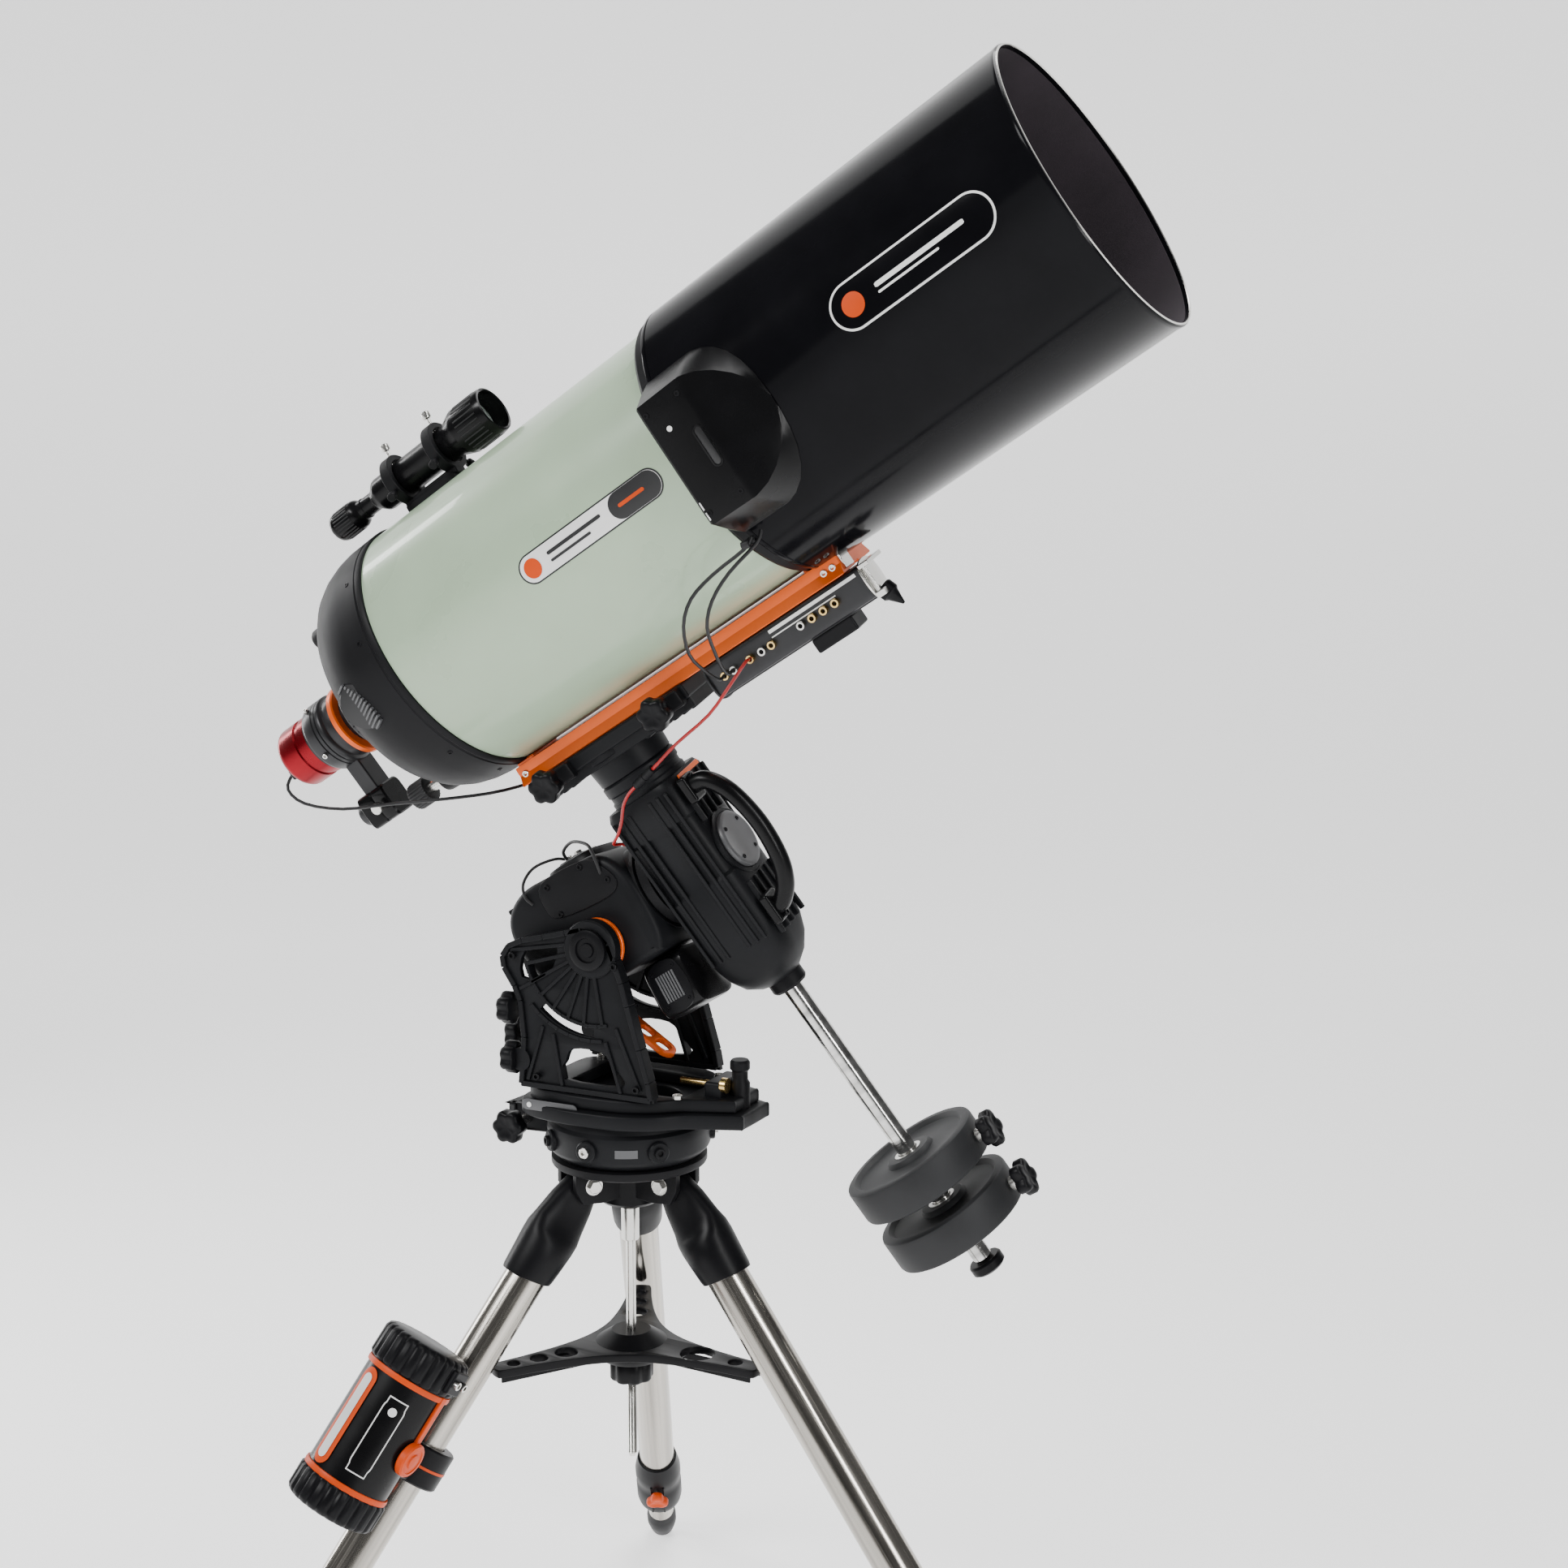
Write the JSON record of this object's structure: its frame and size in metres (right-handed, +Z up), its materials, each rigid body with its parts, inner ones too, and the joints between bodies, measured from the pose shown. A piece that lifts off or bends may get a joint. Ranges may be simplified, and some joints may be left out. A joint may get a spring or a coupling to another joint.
{
  "type": "schmidt cassegrain telescope",
  "caption": "Schmidt-Cassegrain telescope with dew shield, camera and finder on a tilting German equatorial mount with sliding counterweights and an adjustable tube-leg tripod.",
  "frame": {"origin": "on the floor, under the middle of the telescope's bounding box, cords left out", "axes": "+Z up; +X is the way the polar axis leans and the tube points; +Y is across the mount, away from the near side plate"},
  "size_m": [1.1202, 1.1192, 2.0528],
  "materials": {
    "tripod_casting": "satin black paint",
    "mount_casting": "fine textured dark grey paint",
    "steel_rod": "polished",
    "leg_steel": "satin, drawn along the tube",
    "tray_plastic": "moulded, matte",
    "knob_plastic": "moulded, satin",
    "knob_orange": "moulded orange",
    "strap_plastic": "woven strap over a moulded clip",
    "tank_plastic": "moulded, satin",
    "orange_anodised": "orange anodised",
    "cover_plastic": "moulded, satin",
    "cover_plate": "satin grey paint",
    "counterweight_iron": "dark paint",
    "controller_body": "black anodised",
    "tube_paint": "satin sage green paint",
    "cell_paint": "matte black paint",
    "corrector_glass": "coated",
    "mirror_coating": "polished",
    "shield_gloss": "gloss black paint",
    "heater_plastic": "satin black",
    "rubber_grip": "ribbed rubber",
    "adapter_black": "black anodised",
    "camera_red": "red anodised",
    "finder_black": "satin black",
    "cable_black": "smooth jacket",
    "cable_red": "smooth jacket"
  },
  "bodies": {
    "stand": {"tripod_head": "tripod_casting", "centre_rod": "steel_rod", "azimuth_base": "mount_casting"},
    "tray": {"spreader_tray": "tray_plastic"},
    "tray_knob": {"tray_knob": "knob_plastic"},
    "leg_1": {"leg_1": "leg_steel"},
    "leg_2": {"leg_2": "leg_steel"},
    "leg_3": {"leg_3": "leg_steel", "tank_strap": "strap_plastic", "power_tank": "tank_plastic"},
    "leg_extension_1": {"leg_extension_1": "leg_steel"},
    "leg_extension_2": {"leg_extension_2": "leg_steel"},
    "leg_extension_3": {"leg_extension_3": "leg_steel"},
    "leg_lock_knob_1": {"leg_lock_knob_1": "knob_orange"},
    "leg_lock_knob_2": {"leg_lock_knob_2": "knob_orange"},
    "leg_lock_knob_3": {"leg_lock_knob_3": "knob_orange"},
    "azimuth": {"azimuth_plate": "mount_casting", "side_plate_near": "mount_casting", "side_plate_far": "mount_casting", "altitude_link": "orange_anodised"},
    "azimuth_knob_1": {"azimuth_knob_1": "knob_plastic"},
    "azimuth_knob_2": {"azimuth_knob_2": "knob_plastic"},
    "altitude_lock_knob_1": {"altitude_lock_knob_1": "knob_plastic"},
    "altitude_lock_knob_2": {"altitude_lock_knob_2": "knob_plastic"},
    "altitude_knob": {"altitude_knob": "knob_plastic"},
    "altitude": {"altitude_axle": "orange_anodised", "ra_housing": "mount_casting", "ra_motor_cover": "cover_plastic"},
    "right_ascension": {"dec_housing": "mount_casting", "axis_cover": "cover_plate", "carry_handle": "cover_plastic", "counterweight_shaft": "steel_rod"},
    "counterweight_1": {"counterweight_1": "counterweight_iron"},
    "counterweight_2": {"counterweight_2": "counterweight_iron"},
    "counterweight_knob_1": {"counterweight_knob_1": "knob_plastic"},
    "counterweight_knob_2": {"counterweight_knob_2": "knob_plastic"},
    "toe_saver": {"toe_saver": "knob_plastic"},
    "declination": {"saddle": "mount_casting"},
    "saddle_knob_1": {"saddle_knob_1": "knob_plastic"},
    "saddle_knob_2": {"saddle_knob_2": "knob_plastic"},
    "tube": {"dovetail_bar": "orange_anodised", "power_controller": "controller_body", "main_tube": "tube_paint", "rear_cell": "cell_paint", "front_cell": "cell_paint", "corrector_plate": "corrector_glass", "secondary_housing": "cell_paint", "baffle_tube": "cell_paint", "dew_shield": "shield_gloss", "heater_housing": "heater_plastic", "visual_back": "adapter_black", "imaging_camera": "camera_red", "finder_tube": "finder_black", "finder_bracket": "finder_black", "dew_lead_1": "cable_black", "dew_lead_2": "cable_black", "camera_lead": "cable_black", "power_cable": "cable_red"},
    "focus_knob": {"focus_knob": "rubber_grip"},
    "primary_mirror": {"primary_mirror": "mirror_coating"}
  },
  "joints": [
    {"name": "tray_slide", "type": "slide", "parent": "stand", "child": "tray", "axis": [0, 0, -1], "range_m": [0, 0.09]},
    {"name": "tray_knob_turn", "type": "hinge", "parent": "tray", "child": "tray_knob", "pos_m": [-0.12896, -0.02065, 0.528], "axis": [0, 0, 1], "range_deg": [0, 150]},
    {"name": "leg_fold_1", "type": "hinge", "parent": "stand", "child": "leg_1", "pos_m": [-0.0681, -0.02469, 0.78], "axis": [0.0663, 0.9978, 0], "range_deg": [0, 8]},
    {"name": "leg_extend_1", "type": "slide", "parent": "leg_1", "child": "leg_extension_1", "axis": [0.5935, -0.0394, -0.8039], "range_m": [0, 0.18]},
    {"name": "leg_lock_1", "type": "hinge", "parent": "leg_1", "child": "leg_lock_knob_1", "pos_m": [0.37784, -0.05431, 0.11551], "axis": [-0.8021, 0.0533, -0.5948], "range_deg": [0, 90]},
    {"name": "leg_fold_2", "type": "hinge", "parent": "stand", "child": "leg_2", "pos_m": [-0.15589, 0.03408, 0.78], "axis": [-0.8973, -0.4415, 0], "range_deg": [0, 8]},
    {"name": "leg_extend_2", "type": "slide", "parent": "leg_2", "child": "leg_extension_2", "axis": [-0.2626, 0.5337, -0.8039], "range_m": [0, 0.18]},
    {"name": "leg_lock_2", "type": "hinge", "parent": "leg_2", "child": "leg_lock_knob_2", "pos_m": [-0.35321, 0.43508, 0.11551], "axis": [0.3549, -0.7213, -0.5948], "range_deg": [0, 90]},
    {"name": "leg_fold_3", "type": "hinge", "parent": "stand", "child": "leg_3", "pos_m": [-0.1629, -0.07134, 0.78], "axis": [0.831, -0.5563, 0], "range_deg": [0, 8]},
    {"name": "leg_extend_3", "type": "slide", "parent": "leg_3", "child": "leg_extension_3", "axis": [-0.3309, -0.4943, -0.8039], "range_m": [0, 0.18]},
    {"name": "leg_lock_3", "type": "hinge", "parent": "leg_3", "child": "leg_lock_knob_3", "pos_m": [-0.41151, -0.44272, 0.11551], "axis": [0.4472, 0.668, -0.5948], "range_deg": [0, 90]},
    {"name": "azimuth_adjust", "type": "hinge", "parent": "stand", "child": "azimuth", "pos_m": [-0.12896, -0.02065, 0.86401], "axis": [0, 0, 1], "range_deg": [-3, 3]},
    {"name": "azimuth_knob_turn_1", "type": "hinge", "parent": "stand", "child": "azimuth_knob_1", "pos_m": [-0.25296, -0.08665, 0.84201], "axis": [0, -1, 0], "range_deg": [-90, 90]},
    {"name": "azimuth_knob_turn_2", "type": "hinge", "parent": "stand", "child": "azimuth_knob_2", "pos_m": [-0.25296, 0.04535, 0.84201], "axis": [0, 1, 0], "range_deg": [-90, 90]},
    {"name": "altitude_lock_turn_1", "type": "hinge", "parent": "azimuth", "child": "altitude_lock_knob_1", "pos_m": [-0.23696, -0.10265, 0.99201], "axis": [-1, 0, 0], "range_deg": [0, 90]},
    {"name": "altitude_lock_turn_2", "type": "hinge", "parent": "azimuth", "child": "altitude_lock_knob_2", "pos_m": [-0.23296, -0.10265, 0.932], "axis": [-1, 0, 0], "range_deg": [0, 90]},
    {"name": "altitude_knob_turn", "type": "hinge", "parent": "azimuth", "child": "altitude_knob", "pos_m": [-0.27896, -0.02065, 0.938], "axis": [-1, 0, 0], "range_deg": [-90, 90]},
    {"name": "altitude_adjust", "type": "hinge", "parent": "azimuth", "child": "altitude", "pos_m": [-0.12896, -0.02065, 1.075], "axis": [0, -1, 0], "range_deg": [-8, 20]},
    {"name": "right_ascension_axis", "type": "hinge", "parent": "altitude", "child": "right_ascension", "pos_m": [-0.02546, -0.02065, 1.17535], "axis": [0.8471, 0, 0.5314], "range_deg": [-104, 76]},
    {"name": "counterweight_slide_1", "type": "slide", "parent": "right_ascension", "child": "counterweight_1", "axis": [0.5156, 0.2419, -0.822], "range_m": [-0.2, 0.025]},
    {"name": "counterweight_slide_2", "type": "slide", "parent": "right_ascension", "child": "counterweight_2", "axis": [0.5156, 0.2419, -0.822], "range_m": [-0.025, 0.04]},
    {"name": "counterweight_lock_1", "type": "hinge", "parent": "counterweight_1", "child": "counterweight_knob_1", "pos_m": [0.29128, 0.08822, 0.8586], "axis": [0.8471, 0, 0.5314], "range_deg": [0, 90]},
    {"name": "counterweight_lock_2", "type": "hinge", "parent": "counterweight_2", "child": "counterweight_knob_2", "pos_m": [0.3284, 0.10563, 0.79942], "axis": [0.8471, 0, 0.5314], "range_deg": [0, 90]},
    {"name": "toe_saver_turn", "type": "hinge", "parent": "right_ascension", "child": "toe_saver", "pos_m": [0.27891, 0.12216, 0.69014], "axis": [0.5156, 0.2419, -0.822], "range_deg": [0, 90]},
    {"name": "declination_axis", "type": "hinge", "parent": "right_ascension", "child": "declination", "pos_m": [-0.02546, -0.02065, 1.17535], "axis": [0.5156, 0.2419, -0.822], "range_deg": [-180, 180]},
    {"name": "saddle_lock_1", "type": "hinge", "parent": "declination", "child": "saddle_knob_1", "pos_m": [-0.15958, -0.14345, 1.27248], "axis": [0.1286, -0.9703, -0.2049], "range_deg": [0, 90]},
    {"name": "saddle_lock_2", "type": "hinge", "parent": "declination", "child": "saddle_knob_2", "pos_m": [-0.01557, -0.14345, 1.36282], "axis": [0.1286, -0.9703, -0.2049], "range_deg": [0, 90]},
    {"name": "dovetail_slide", "type": "slide", "parent": "declination", "child": "tube", "axis": [0.8471, 0, 0.5314], "range_m": [-0.02, 0.02]},
    {"name": "mirror_focus", "type": "slide", "parent": "tube", "child": "primary_mirror", "axis": [0.8471, 0, 0.5314], "range_m": [-0.006, 0.006]},
    {"name": "focus_turn", "type": "hinge", "parent": "tube", "child": "focus_knob", "pos_m": [-0.37595, -0.10078, 1.23727], "axis": [0.8471, 0, 0.5314], "range_deg": [-180, 180]}
  ],
  "couplings": [
    {"joint": "leg_fold_1", "follows": "tray_slide", "rad_per_m": 1.532},
    {"joint": "leg_fold_2", "follows": "tray_slide", "rad_per_m": 1.532},
    {"joint": "leg_fold_3", "follows": "tray_slide", "rad_per_m": 1.532},
    {"joint": "focus_turn", "follows": "mirror_focus", "rad_per_m": 516.67}
  ]
}
